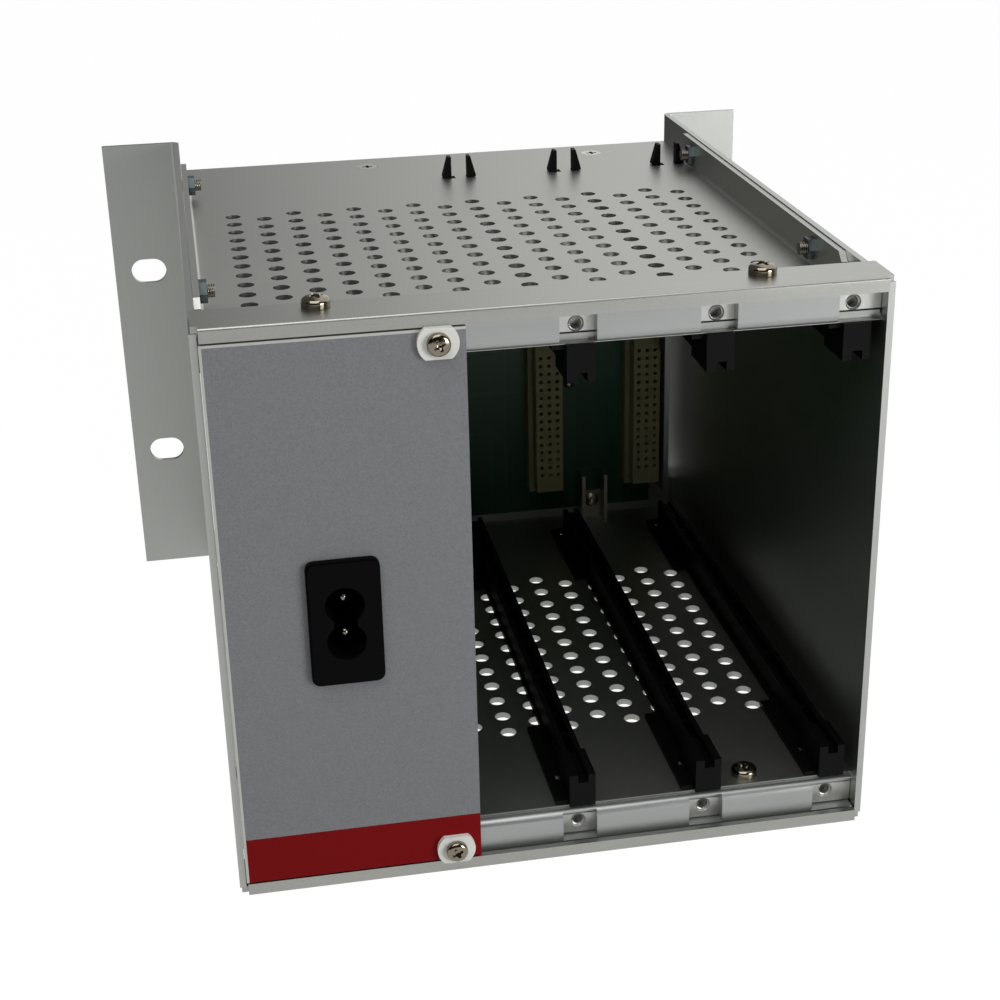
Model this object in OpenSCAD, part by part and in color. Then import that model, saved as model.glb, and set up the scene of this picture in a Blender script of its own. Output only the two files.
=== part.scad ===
// Small 3U subrack: folded side plates, perforated trays, front rails for three plug-in
// cards, and a power supply module behind its own panel.
// x runs to the right, y to the rear and z up. The origin is the middle of the base.

/* [Cage] */
// Width of one card slot
slot_pitch = 30.48; // [25.4:0.01:40.64]
// Height of a front panel
panel_h = 128.4; // [115:0.1:145]
// Distance from a panel's edge to the edge of the side plates
side_margin = 2.05; // [1.9:0.05:3]
// Depth over the folded sheet metal
case_d = 186; // [182:1:260]
// Thickness of every folded sheet
sheet_t = 1.5; // [1:0.1:2]
// Inner radius of the folds
fold_r = 0.8; // [0.3:0.1:0.9]
// How far the side plates stand behind the front face
side_setback = 1.5; // [0.5:0.1:2.4]

/* [Mounting ears] */
// How far each ear stands out from its side plate
ear_w = 20.5; // [16:0.5:30]
// Length of the slots in the ears
slot_l = 10.2; // [8:0.1:12]
// Width of the slots in the ears
slot_w = 7.2; // [4.5:0.1:7.4]
// Distance between the upper and the lower slot
slot_span = 57.15; // [40:0.01:90]
// Distance from the side plate to the middle of the slots
slot_out = 10.6; // [8:0.1:14]

/* [Trays] */
// Distance from the panel screws' line to the outer face of a tray
tray_offset = 2.9; // [2.7:0.1:4]
// Distance from the front face to the rear edge of the trays
tray_rear = 183.5; // [178:0.5:186]
// Where the trays' flanges start behind the front face
flange_front = 26; // [20:1:36]
// Where the trays' flanges end behind the front face
flange_rear = 159.5; // [156:0.5:170]
// Bevel of the flanges' corners
flange_bevel = 2; // [0.5:0.1:3]
// Diameter of the ventilation holes
vent_d = 4; // [2:0.1:5]
// Pitch of the ventilation holes, across and along
vent_pitch = 8; // [7:0.1:12]
// Middle of the ventilation field behind the front face
vent_mid = 82.7; // [80:0.1:90]
// Rows in the ventilation field
vent_rows = 11; // [3:1:13]
// Distance from the left side plate to the first column of holes
vent_left = 12.4; // [9:0.1:30]

/* [Front] */
// Thickness of a front panel
panel_t = 2.5; // [2:0.1:3]
// Width of the power supply's panel
panel_w = 54.15; // [50:0.05:70]
// Gap between the side plate and the power supply's panel
panel_gap = 0.15; // [0.1:0.05:1.5]
// Distance from a panel's upper and lower edges to its fixing screws
screw_edge = 2.95; // [2.7:0.05:3.2]
// Distance from a panel's right edge to its fixing screws
screw_inset = 6.1; // [5.8:0.1:7]
// Depth of the cover strips that lie over the side plates
strip_d = 12.9; // [12.9:0.1:16]
// Gap between the strip's lip and the panel's edge
lip_gap = 0.4; // [0.2:0.1:0.6]
// Radius of the lip's outer edge
lip_r = 0.6; // [0.3:0.1:1]
// Sheet left at each end of a strip before the side plate's outer face
strip_end = 0.4; // [0:0.1:1]

/* [Rails] */
// Thickness of the rails' front wall
rail_wall = 2.5; // [2:0.1:3]
// Thickness of the web between the threaded bar and the tray
rail_web = 0.85; // [0.6:0.05:1]
// How far the front wall reaches past the tray's outer face
rail_toe = 1.05; // [0.9:0.05:1.4]
// Radius of the front wall's inner edge
rail_round = 2; // [1:0.1:2.2]
// Thickness left at the inner end of each notch
notch_lip = 0.35; // [0.2:0.05:0.8]
// Width of the notch in front of each thread
notch_w = 8.1; // [6:0.1:10]
// Height of the threaded bars
bar_h = 5.5; // [5:0.1:5.6]
// Thickness of the threaded bars
bar_t = 2.6; // [2:0.1:3]
// Diameter of the panel fixing threads
thread_d = 2.5; // [2:0.1:3]
// Diameter of the countersink of a thread
thread_sink = 3.6; // [3.2:0.1:3.7]

/* [Card guides] */
// Distance from a slot's screws to the middle of its guide groove
guide_shift = 1.1; // [0:0.1:1.6]
// Width of the groove that holds a card
groove_w = 2.1; // [1.7:0.1:2.4]
// Depth of the groove in the front block
groove_deep = 2.1; // [1.2:0.1:2.4]
// Height of the lower groove's floor above a panel's lower edge
groove_up = 13.65; // [12.8:0.05:15]
// Distance from the front face to the rear end of a guide
guide_rear = 157; // [150:0.5:160]
// Length of the wide pad at each end of a guide
pad_len = 35; // [16:0.5:50]
// Distance from the front face to the front clips
clip_front = 16.3; // [14:0.1:20]
// Distance from the front face to the rear clips
clip_rear = 153.8; // [148:0.1:156]

/* [Power supply] */
// Width of the inlet's flange
inlet_w = 16; // [14:0.1:20]
// Height of the inlet's flange
inlet_h = 29.6; // [26:0.1:34]
// Distance from the panel's left edge to the inlet's middle
inlet_in = 25.95; // [20:0.05:30]
// Distance between the inlet's pins
pin_pitch = 8.6; // [8.6:0.1:9]
// Diameter of the inlet's pins
pin_d = 2.4; // [2:0.1:2.8]
// Play between a guided board and the floors of its two grooves
board_play = 0.55; // [0.2:0.05:1.5]
// Thickness of the power supply's board
board_t = 1.6; // [1:0.1:1.7]
// Width, depth and height of the transformer's core
core_w = 26; // [18:0.5:30]
core_d = 20; // [14:0.5:26]
core_h = 44; // [30:0.5:56]
// Diameter and length of the smoothing capacitors
capacitor_d = 16; // [10:0.5:18]
capacitor_l = 25; // [16:0.5:32]
// Depth of the heat sink's fins and height of the heat sink
fin_w = 24; // [16:0.5:32]
sink_h = 60; // [40:0.5:80]
// Thickness and pitch of the fins
fin_t = 1.6; // [1:0.1:2.4]
fin_pitch = 3.4; // [2.8:0.1:5]

/* [Backplane] */
// Distance from the front face to the backplane
backplane_y = 167.5; // [164:0.1:168]
// Thickness of the backplane
backplane_t = 2.4; // [1.6:0.1:3]
// Gap between the backplane's edges and the trays
backplane_gap = 3.5; // [2:0.1:6]
// Distance from the left side plate to the backplane
backplane_left = 6.6; // [4:0.1:9]
// Distance from the right side plate to the backplane
backplane_right = 7.9; // [5:0.1:9]
// Depth and height of the rear rails that carry the backplane
rear_rail_d = 8; // [7:0.1:11]
rear_rail_h = 9.5; // [8.5:0.1:12]
// Height of the sockets' middle above the panel's lower edge
socket_up = 45.9; // [40:0.1:64]
// Distance from a guide's groove to the middle of its socket
socket_shift = 6.3; // [5.8:0.1:7]
// Pitch of the socket's contacts
contact_pitch = 2.54; // [2.5:0.01:2.54]
// Rows of contacts in a socket
contact_rows = 16; // [8:1:16]

/* [Hidden] */
$fn = 48;

// Overall sizes
slots = 3;
side_h = panel_h + 2 * side_margin;
total_h = side_h + 2 * sheet_t;
inner_w = panel_gap + panel_w + slots * slot_pitch;
panel_x = panel_gap;
panel_z = sheet_t + side_margin;
fold_out = fold_r + sheet_t;
screw_z = panel_z + screw_edge;
bay_x = panel_x + panel_w;

// Where a slot's screws and its guide's groove stand
screw_play = 0.3;
panel_screw_x = bay_x - screw_inset + 0.2;
function slot_screw_x(i) = bay_x + (i + 1) * slot_pitch - screw_inset - screw_play;
function groove_x(i) = slot_screw_x(i) + guide_shift;

// Countersunk screws of the folded sheets
csk_d = 6;
csk_h = 1.3;
csk_shank = 3;
hole_play = 0.4;

// The trays, given for the lower one; the upper one is its mirror image
tray_under = screw_z + tray_offset;
tray_drop = tray_under - sheet_t;
tray_floor = tray_under + sheet_t;
wall_top = tray_under + rail_toe;
channel_y = panel_t + rail_wall;
bar_play = 0.1;
tray_front = channel_y + bar_play;
side_gap = 0.05;
flange_hole_z = sheet_t + tray_drop * 0.51;
flange_top_gap = 0.3;
flange_screw_in = [19, 12.5];
side_screw_ys = [flange_front + flange_screw_in[0], flange_rear - flange_screw_in[1]];
floor_screw_d = 3;
floor_screw_in = 24.65;
floor_screw_xs = [panel_x + floor_screw_in, groove_x(1) + 10.3];
floor_screw_y = channel_y + bar_t + 2 * bar_play + floor_screw_d / 2 + 0.3;
rear_screw_xs = [groove_x(-1) + 4.6, groove_x(1) + 10.6];
bracket_xs = [groove_x(-1) + 3.4, groove_x(1) + 8.9];
rear_rail_y = backplane_y + backplane_t;
rear_screw_y = rear_rail_y + 3.6;

// Sockets on the backplane
socket_d = 10.5;
socket_nose = 6;
socket_w = 8.2;
socket_h = (contact_rows - 1) * contact_pitch + 11;
socket_base_w = 10.8;
socket_base_h = socket_h + 4;
socket_z = panel_z + socket_up;

// Power supply module
head_d = 5;
head_h = 1.9;
collar_w = 8.8;
collar_h = 6.8;
collar_t = 1.2;
inlet_flange_t = 1.8;
inlet_body_w = inlet_w - 2.6;
inlet_body_h = inlet_h - 3.4;
inlet_body_d = 15;
inlet_recess_d = 12.5;
lobe_d = 8.6;
waist_w = 5;
inlet_x = panel_x + inlet_in;
inlet_z = total_h / 2;
board_h = total_h - 2 * (panel_z + groove_up + board_play);
board_x = panel_screw_x + guide_shift - board_t / 2;
board_y = panel_t + 2;
board_z = (total_h - board_h) / 2;
plug_d = 12;
plug_gap = 0.6;
board_end = backplane_y - socket_d + socket_nose - plug_gap - plug_d;
board_d = board_end - 0.4 - board_y;

// How far the panel's screws stand out in front of its face
front_reach = collar_t + head_h;

// Puts the cage's middle above the origin
module in_place() {
  translate([-inner_w / 2, -(case_d - front_reach) / 2, 0]) children();
}

// The mirror image for the top of the cage
module upside_down() {
  translate([0, 0, total_h]) mirror([0, 0, 1]) children();
}

// Flat outline of a folded sheet: legs a along x and b along y, outer corner at the origin
module fold_outline(a, b, t, r_out) {
  translate([r_out, 0]) square([a - r_out, t]);
  translate([0, r_out]) square([t, b - r_out]);
  translate([r_out, r_out]) intersection() {
    difference() {
      circle(r = r_out);
      circle(r = r_out - t);
    }
    translate([-r_out, -r_out]) square(r_out);
  }
}

// Rectangle with round corners, centred
module round_rect(w, h, r) {
  square([w - 2 * r, h], center = true);
  square([w, h - 2 * r], center = true);
  for (sx = [-1, 1], sy = [-1, 1])
    translate([sx * (w / 2 - r), sy * (h / 2 - r)]) circle(r = r);
}

// Outline standing in the xz plane, pushed from y0 to y1
module standing(y0, y1) {
  translate([0, y1, 0]) rotate([90, 0, 0]) linear_extrude(height = y1 - y0) children();
}

// Outline given as y and z, pushed along x from x0 to x1
module sideways(x0, x1) {
  translate([x0, 0, 0]) rotate([90, 0, 90]) linear_extrude(height = x1 - x0) children();
}

// Round bar along y
module rod_y(x, z, d, y0, y1) {
  translate([x, y0, z]) rotate([-90, 0, 0]) cylinder(d = d, h = y1 - y0);
}

// Round bar along x
module rod_x(y, z, d, x0, x1) {
  translate([x0, y, z]) rotate([0, 90, 0]) cylinder(d = d, h = x1 - x0);
}

// Domed screw head that stands on z = 0
module pan_head(d, h) {
  rim = 0.35 * h;
  cap_r = (pow(d / 2, 2) + pow(h - rim, 2)) / (2 * (h - rim));
  rotate_extrude() intersection() {
    square([d / 2, h]);
    union() {
      square([d / 2, rim]);
      translate([0, h - cap_r]) circle(r = cap_r);
    }
  }
}

// Cross-shaped drive recess, cut down from z = 0
module cross_recess(size, deep) {
  for (a = [0, 90]) rotate([0, 0, a])
    translate([-size / 2, -size * 0.14, -deep]) cube([size, size * 0.28, deep + 1]);
}

// Countersunk screw whose head lies flush in the face z = 0 and points up
module csk_screw(len) {
  difference() {
    cylinder(d1 = csk_d, d2 = csk_shank, h = csk_h);
    mirror([0, 0, 1]) cross_recess(3, 0.9);
  }
  translate([0, 0, csk_h]) cylinder(d = csk_shank, h = len - csk_h);
}

// Hole for it through one folded sheet
module csk_hole() {
  translate([0, 0, -1]) cylinder(d = csk_shank + hole_play, h = sheet_t + 2);
  translate([0, 0, -0.01])
    cylinder(d1 = csk_d + 0.2, d2 = csk_shank + hole_play, h = csk_h + 0.1);
}

// ---------- Folded sheet metal ----------

// Left side plate, folded outwards into an ear at the rear
module side_plate() {
  difference() {
    translate([0, case_d, sheet_t]) linear_extrude(height = side_h)
      rotate(180) fold_outline(ear_w + sheet_t, case_d - side_setback, sheet_t, fold_out);
    for (sz = [-1, 1])
      translate([-sheet_t - slot_out, 0, total_h / 2 + sz * slot_span / 2])
        standing(case_d - 2 * sheet_t, case_d + 1) {
          square([slot_l - slot_w, slot_w], center = true);
          for (sx = [-1, 1]) translate([sx * (slot_l - slot_w) / 2, 0]) circle(d = slot_w);
        }
    for (y = side_screw_ys, z = [flange_hole_z, total_h - flange_hole_z])
      translate([-sheet_t, y, z]) rotate([0, 90, 0]) csk_hole();
  }
}

module side_plate_left() {
  color([0.56, 0.57, 0.55]) side_plate();
}

module side_plate_right() {
  color([0.56, 0.57, 0.55]) translate([inner_w, 0, 0]) mirror([1, 0, 0]) side_plate();
}

// Flange of a tray: a folded strip with bevelled corners
module tray_flange() {
  intersection() {
    translate([side_gap, 0, tray_floor]) mirror([0, 0, 1])
      standing(flange_front, flange_rear)
        fold_outline(fold_out + 0.5, tray_floor - sheet_t - flange_top_gap, sheet_t, fold_out);
    sideways(-1, fold_out + 2)
      polygon([
        [flange_front, tray_floor + 1], [flange_rear, tray_floor + 1],
        [flange_rear, sheet_t + flange_top_gap + flange_bevel],
        [flange_rear - flange_bevel, sheet_t + flange_top_gap],
        [flange_front + flange_bevel, sheet_t + flange_top_gap],
        [flange_front, sheet_t + flange_top_gap + flange_bevel]
      ]);
  }
}

// Columns of ventilation holes that fit between the side plates
vent_cols = 1 + floor((inner_w - 2 * vent_left) / vent_pitch);
module vent_holes() {
  for (i = [0 : vent_cols - 1], j = [0 : vent_rows - 1])
    translate([
      vent_left + i * vent_pitch,
      vent_mid + (j - (vent_rows - 1) / 2) * vent_pitch + (i % 2 == 0 ? 1 : -1) * vent_pitch / 4,
      tray_under - 1
    ]) cylinder(d = vent_d, h = sheet_t + 2, $fn = 24);
}

// Lower tray: plate, two flanges folded down, and every hole that goes through it
module tray() {
  relief = sheet_t;
  difference() {
    union() {
      difference() {
        translate([side_gap, tray_front, tray_under])
          cube([inner_w - 2 * side_gap, tray_rear - tray_front, sheet_t]);
        for (x = [-1, inner_w - fold_out - side_gap])
          translate([x, flange_front - relief, tray_under - 1])
            cube([fold_out + side_gap + 1, flange_rear - flange_front + 2 * relief, sheet_t + 2]);
      }
      tray_flange();
      translate([inner_w, 0, 0]) mirror([1, 0, 0]) tray_flange();
    }
    vent_holes();
    for (i = [0 : slots - 1], y = [clip_front, clip_rear], k = [0, 1])
      translate([groove_x(i) + clip_xs[k], y, tray_under - 1]) {
        window = k == 0 ? clip_window : 0;
        translate([-clip_w / 2 - clip_play, -clip_l / 2 - clip_play, 0])
          cube([clip_w + 2 * clip_play + window, clip_l + 2 * clip_play, sheet_t + 2]);
      }
    for (x = floor_screw_xs)
      translate([x, floor_screw_y, tray_under - 1])
        cylinder(d = floor_screw_d + hole_play, h = sheet_t + 2);
    for (x = rear_screw_xs) translate([x, rear_screw_y, tray_under]) csk_hole();
    for (y = side_screw_ys) rod_x(y, flange_hole_z, csk_shank + hole_play, -1, inner_w + 1);
  }
}

module tray_bottom() {
  color([0.60, 0.60, 0.57]) tray();
}

module tray_top() {
  color([0.60, 0.60, 0.57]) upside_down() tray();
}

// Cover strip of the upper rail: lies over the side plates, with a short lip at the front
module cover_strip() {
  lip_h = panel_z - lip_gap;
  lip_end = 0.4;
  wing_front = side_setback + 0.3;
  difference() {
    union() {
      sideways(lip_end, inner_w - lip_end) {
        translate([lip_r, 0]) square([strip_d - lip_r, sheet_t]);
        translate([0, lip_r]) square([sheet_t, lip_h - lip_r]);
        translate([lip_r, lip_r]) circle(r = lip_r);
      }
      translate([-sheet_t + strip_end, wing_front, 0])
        cube([inner_w + 2 * (sheet_t - strip_end), strip_d - wing_front, sheet_t]);
    }
    for (x = floor_screw_xs)
      translate([x, floor_screw_y, -1]) cylinder(d = floor_screw_d + hole_play, h = sheet_t + 2);
  }
}

module cover_strip_bottom() {
  color([0.60, 0.60, 0.57]) cover_strip();
}

module cover_strip_top() {
  color([0.60, 0.60, 0.57]) upside_down() cover_strip();
}

// ---------- Rails ----------

// The threaded bar's channel inside the lower rail
channel_top = tray_under - rail_web;
channel_bottom = channel_top - bar_h - 2 * bar_play;
rail_rear = floor_screw_y + 3.2;
rail_end = 0.3;

// Section of the rail's front wall, round along its inner edge
module wall_outline() {
  intersection() {
    translate([panel_t, sheet_t]) square([rail_wall, wall_top - sheet_t]);
    union() {
      translate([panel_t, sheet_t]) square([rail_wall, wall_top - rail_round - sheet_t]);
      translate([panel_t + rail_round, sheet_t]) square([rail_wall, wall_top - sheet_t]);
      translate([panel_t + rail_round, wall_top - rail_round]) circle(r = rail_round);
    }
  }
}

// Lower front rail: extruded section with a notch in front of each thread
module front_rail() {
  notch_top = wall_top - notch_lip;
  rear_recess = 0.9;
  difference() {
    sideways(rail_end, inner_w - rail_end) difference() {
      union() {
        wall_outline();
        translate([channel_y - 0.01, sheet_t])
          square([rail_rear - channel_y + 0.01, tray_drop]);
      }
      translate([channel_y, channel_bottom]) square([bar_t + 2 * bar_play, bar_h + 2 * bar_play]);
      polygon([
        [rail_rear + 1, sheet_t + 1.6], [rail_rear - rear_recess, sheet_t + 2.4],
        [rail_rear - rear_recess, sheet_t + tray_drop - 2.4],
        [rail_rear + 1, sheet_t + tray_drop - 1.6]
      ]);
    }
    for (i = [0 : slots - 1]) {
      last = i == slots - 1;
      translate([slot_screw_x(i) - notch_w / 2, panel_t - 1, channel_bottom])
        cube([last ? inner_w : notch_w, rail_wall + 1.01, notch_top - channel_bottom]);
    }
    translate([panel_screw_x - notch_w / 2, panel_t - 1, channel_bottom])
      cube([notch_w, rail_wall + 1.01, notch_top - channel_bottom]);
    for (x = floor_screw_xs)
      translate([x, floor_screw_y, 0]) cylinder(d = floor_screw_d + 0.3, h = tray_floor + 1);
  }
}

module front_rail_bottom() {
  color([0.70, 0.72, 0.72]) front_rail();
}

module front_rail_top() {
  color([0.70, 0.72, 0.72]) upside_down() front_rail();
}

// Bar with a countersunk thread for every slot and for the power supply's panel
module threaded_bar() {
  xs = concat([panel_screw_x], [for (i = [0 : slots - 1]) slot_screw_x(i)]);
  y0 = channel_y + bar_play;
  sink = (thread_sink - thread_d) / 2;
  difference() {
    sideways(bar_play, inner_w - bar_play) translate([y0, channel_bottom + bar_play]) polygon([
      [0, 0.3], [0.3, 0], [bar_t, 0], [bar_t, bar_h], [0.3, bar_h], [0, bar_h - 0.3]
    ]);
    for (x = xs) {
      rod_y(x, screw_z, thread_d, y0 - 1, y0 + bar_t + 1);
      translate([x, y0 - 0.01, screw_z]) rotate([-90, 0, 0])
        cylinder(d1 = thread_sink, d2 = thread_d, h = sink);
    }
  }
}

module threaded_bar_bottom() {
  color([0.80, 0.80, 0.78]) threaded_bar();
}

module threaded_bar_top() {
  color([0.80, 0.80, 0.78]) upside_down() threaded_bar();
}

// ---------- Screws of the sheet metal ----------

// Pan-head screws on the upper strip, through the rail and the tray
floor_head_d = 6.2;
floor_head_h = 2.5;
module cover_screws() {
  color([0.78, 0.76, 0.72]) for (x = floor_screw_xs) translate([x, floor_screw_y, total_h]) {
    difference() {
      pan_head(floor_head_d, floor_head_h);
      translate([0, 0, floor_head_h]) cross_recess(3.2, 1.3);
    }
    translate([0, 0, -tray_floor - 1]) cylinder(d = floor_screw_d, h = tray_floor + 1.2);
  }
}

// Pan-head screws on the floor, down into the lower rail
module floor_screws() {
  color([0.78, 0.76, 0.72]) for (x = floor_screw_xs) translate([x, floor_screw_y, tray_floor]) {
    difference() {
      pan_head(floor_head_d, floor_head_h);
      translate([0, 0, floor_head_h]) cross_recess(3.2, 1.3);
    }
    translate([0, 0, -tray_floor + 0.2]) cylinder(d = floor_screw_d, h = tray_floor);
  }
}

// Countersunk screws through the side plates and the trays' flanges
side_screw_len = 6.5;
module side_screws() {
  color([0.74, 0.73, 0.70])
    for (left = [true, false], y = side_screw_ys, z = [flange_hole_z, total_h - flange_hole_z])
      translate([left ? -sheet_t : inner_w + sheet_t, y, z])
        rotate([0, left ? 90 : -90, 0]) csk_screw(side_screw_len);
}

// Hexagon nuts inside the flanges
nut_t = 1.8;
nut_flats = 4.8;
module side_nuts() {
  color([0.55, 0.56, 0.58])
    for (left = [true, false], y = side_screw_ys, z = [flange_hole_z, total_h - flange_hole_z])
      translate([left ? side_gap + sheet_t : inner_w - side_gap - sheet_t, y, z])
        rotate([0, left ? 90 : -90, 0]) difference() {
          rotate(30) cylinder(d = nut_flats / cos(30), h = nut_t, $fn = 6);
          translate([0, 0, -1]) cylinder(d = csk_shank + 0.3, h = nut_t + 2);
        }
}

// ---------- Card guides ----------

clip_w = 1.6;
clip_l = 2.8;
clip_play = 0.2;
clip_window = 1;
clip_xs = [-5.1, 1.1];
pad_left = 6.3;
pad_t = 1.2;
block_left = 3.3;
block_right = 2.9;
guide_wall = 1.3;
guide_half = 3;
guide_foot = 1.4;
groove_z = panel_z + groove_up;
guide_top = groove_z + 1.2;
block_top = groove_z + groove_deep;
block_front = 4;
block_rear = 15.6;
guide_front = channel_y + 0.3;

// One clip: a barbed prong with a small foot, on the outside of the tray
module guide_clip(side) {
  neck = tray_floor - tray_under + 0.2;
  barb = 0.8;
  tip = 5.8;
  mirror([side < 0 ? 0 : 1, 0, 0]) standing(-clip_l / 2, clip_l / 2) polygon([
    [-clip_w / 2, 0.1], [-clip_w / 2, -neck], [-clip_w / 2 - barb, -neck],
    [-clip_w / 2 - barb, -neck - 0.5], [clip_w / 2 - 0.9, -neck - tip],
    [clip_w / 2, -neck - tip], [clip_w / 2, 0.1]
  ]);
}

// Wide pad beside the groove, with a window beside its clip
module guide_pad(y0, y1, clip_y) {
  window_x = clip_xs[0] + clip_w / 2;
  difference() {
    translate([-pad_left, y0, tray_floor]) cube([pad_left - guide_half + 0.5, y1 - y0, pad_t]);
    translate([window_x, clip_y - clip_l / 2 - clip_play, tray_floor - 1])
      cube([-guide_half - window_x, clip_l + 2 * clip_play, pad_t + 2]);
  }
}

// Lower guide about its groove: two walls with a ladder floor, pads and a front block
module guide() {
  bay = 8;
  rib = 2;
  ladder_from = block_rear + 2;
  bays = floor((guide_rear - ladder_from - rib) / (bay + rib));
  floor_z = groove_z - 1.6;
  lead_in = 0.15;
  wall_x = groove_w / 2 + guide_wall;
  difference() {
    union() {
      translate([-guide_half, guide_front, tray_floor])
        cube([2 * guide_half, guide_rear - guide_front, guide_top - tray_floor]);
      standing(block_front, block_rear) polygon([
        [-block_left, tray_floor], [block_right, tray_floor], [block_right, block_top],
        [-block_left, block_top]
      ]);
    }
    // groove, with a lead-in at the front
    translate([-groove_w / 2, -1, groove_z]) cube([groove_w, guide_rear + 2, tray_floor + 20]);
    translate([0, block_front - 0.01, groove_z]) linear_extrude(height = 20) polygon([
      [-groove_w / 2 - lead_in, 0], [groove_w / 2 + lead_in, 0], [groove_w / 2, 2.4],
      [-groove_w / 2, 2.4]
    ]);
    // outer side of each wall, thinner above the foot and behind the block
    for (x = [wall_x, -guide_half - 1])
      translate([x, block_rear, tray_floor + guide_foot])
        cube([guide_half + 1 - wall_x, guide_rear, guide_top]);
    // hollow under the groove, and the openings of its ladder floor
    translate([-groove_w / 2, block_rear, tray_floor + guide_foot])
      cube([groove_w, guide_rear, floor_z - tray_floor - guide_foot]);
    for (i = [0 : bays - 1])
      translate([-groove_w / 2, ladder_from + i * (bay + rib), floor_z - 1])
        cube([groove_w, bay, groove_z - floor_z + 2]);
  }
  guide_pad(guide_front, guide_front + pad_len, clip_front);
  guide_pad(guide_rear - pad_len, guide_rear, clip_rear);
  for (y = [clip_front, clip_rear], k = [0, 1])
    translate([clip_xs[k], y, tray_floor]) guide_clip(k == 0 ? -1 : 1);
}

module guide_bottom(i) {
  color([0.09, 0.09, 0.10]) translate([groove_x(i), 0, 0]) guide();
}

module guide_top(i) {
  color([0.09, 0.09, 0.10]) upside_down() translate([groove_x(i), 0, 0]) guide();
}

// ---------- Power supply module ----------

module power_panel() {
  color([0.45, 0.455, 0.47]) difference() {
    translate([panel_x, 0, panel_z]) cube([panel_w, panel_t, panel_h]);
    translate([inlet_x, 0, inlet_z]) standing(-1, panel_t + 1)
      round_rect(inlet_body_w + 0.3, inlet_body_h + 0.3, 1);
    for (z = [screw_z, total_h - screw_z]) translate([panel_screw_x, 0, z])
      standing(-1, panel_t + 1) round_rect(4.6, 3.4, 1.6);
  }
}

// Nylon collars with flat edges, set into the panel
module panel_collars() {
  color([0.86, 0.86, 0.84]) for (z = [screw_z, total_h - screw_z])
    translate([panel_screw_x, 0, z]) difference() {
      union() {
        standing(-collar_t, 0) intersection() {
          circle(d = collar_w);
          square([collar_w, collar_h], center = true);
        }
        standing(0, panel_t) circle(d = 3.3);
      }
      rod_y(0, 0, thread_d + 0.2, -collar_t - 1, panel_t + 1);
    }
}

// Cross-head screws that hold the panel to the threaded bars
module panel_screws() {
  color([0.74, 0.72, 0.67]) for (z = [screw_z, total_h - screw_z])
    translate([panel_screw_x, -collar_t, z]) rotate([90, 0, 0]) {
      difference() {
        pan_head(head_d, head_h);
        translate([0, 0, head_h]) cross_recess(2.8, 1.2);
      }
      reach = collar_t + channel_y + bar_t;
      translate([0, 0, -reach]) cylinder(d = thread_d - 0.2, h = reach + 0.2);
    }
}

// Appliance inlet with a figure-eight recess
module inlet_housing() {
  color([0.06, 0.06, 0.065]) translate([inlet_x, 0, inlet_z]) difference() {
    union() {
      standing(-inlet_flange_t + 0.5, 0) round_rect(inlet_w, inlet_h, 2);
      standing(-inlet_flange_t, -inlet_flange_t + 0.5) round_rect(inlet_w - 0.8, inlet_h - 0.8, 1.6);
      standing(0, inlet_body_d) round_rect(inlet_body_w, inlet_body_h, 1);
    }
    standing(-inlet_flange_t - 1, inlet_recess_d) {
      for (s = [-1, 1]) translate([0, s * pin_pitch / 2]) circle(d = lobe_d);
      square([waist_w, pin_pitch], center = true);
    }
    for (s = [-1, 1])
      rod_y(0, s * pin_pitch / 2, pin_d + 0.1, inlet_recess_d - 1, inlet_body_d + 1);
  }
}

module inlet_pins() {
  color([0.80, 0.79, 0.75]) for (s = [-1, 1])
    translate([inlet_x, 2.2, inlet_z + s * pin_pitch / 2]) rotate([-90, 0, 0]) {
      cylinder(d1 = pin_d - 0.8, d2 = pin_d, h = 0.5);
      translate([0, 0, 0.5]) cylinder(d = pin_d, h = inlet_body_d + 0.3);
    }
}

// Two insulated leads from the inlet's pins round to the board
lead_d = 2;
lead_bend = 5;
module inlet_leads() {
  y0 = 2.2 + 0.5 + inlet_body_d + 0.3;
  run = board_x - inlet_x - lead_bend;
  color([0.12, 0.20, 0.45]) for (s = [-1, 1])
    translate([inlet_x, y0, inlet_z + s * pin_pitch / 2]) {
      rotate([-90, 0, 0]) cylinder(d = lead_d, h = 4);
      translate([lead_bend, 4, 0]) rotate([0, 0, 90]) rotate_extrude(angle = 90)
        translate([lead_bend, 0]) circle(d = lead_d);
      translate([lead_bend, 4 + lead_bend, 0]) rotate([0, 90, 0])
        cylinder(d = lead_d, h = run);
    }
}

// Holders that carry the board behind the panel
holder_h = 10;
holder_w = 9;
holder_d = 12;
module board_holders() {
  color([0.66, 0.66, 0.65]) for (z = [board_z + 2, total_h - board_z - 2 - holder_h])
    difference() {
      translate([board_x - holder_w, panel_t, z]) cube([holder_w, holder_d, holder_h]);
      translate([board_x - holder_w - 1, panel_t + 3, z - 1])
        cube([holder_w - 2, holder_d, holder_h + 2]);
      rod_x(panel_t + 8, z + holder_h / 2, 2.6, board_x - holder_w - 1, board_x + 1);
    }
}

// Screws through the board into its holders
module holder_screws() {
  color([0.74, 0.73, 0.70])
    for (z = [board_z + 2 + holder_h / 2, total_h - board_z - 2 - holder_h / 2])
      translate([board_x + board_t, panel_t + 8, z]) rotate([0, 90, 0]) {
        pan_head(4.6, 1.7);
        translate([0, 0, -board_t - 3]) cylinder(d = 2.4, h = board_t + 3.2);
      }
}

module power_board() {
  color([0.10, 0.32, 0.18]) difference() {
    translate([board_x, board_y, board_z]) cube([board_t, board_d, board_h]);
    for (z = [board_z + 2 + holder_h / 2, total_h - board_z - 2 - holder_h / 2])
      rod_x(panel_t + 8, z, 2.6, board_x - 1, board_x + board_t + 1);
  }
}

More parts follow.
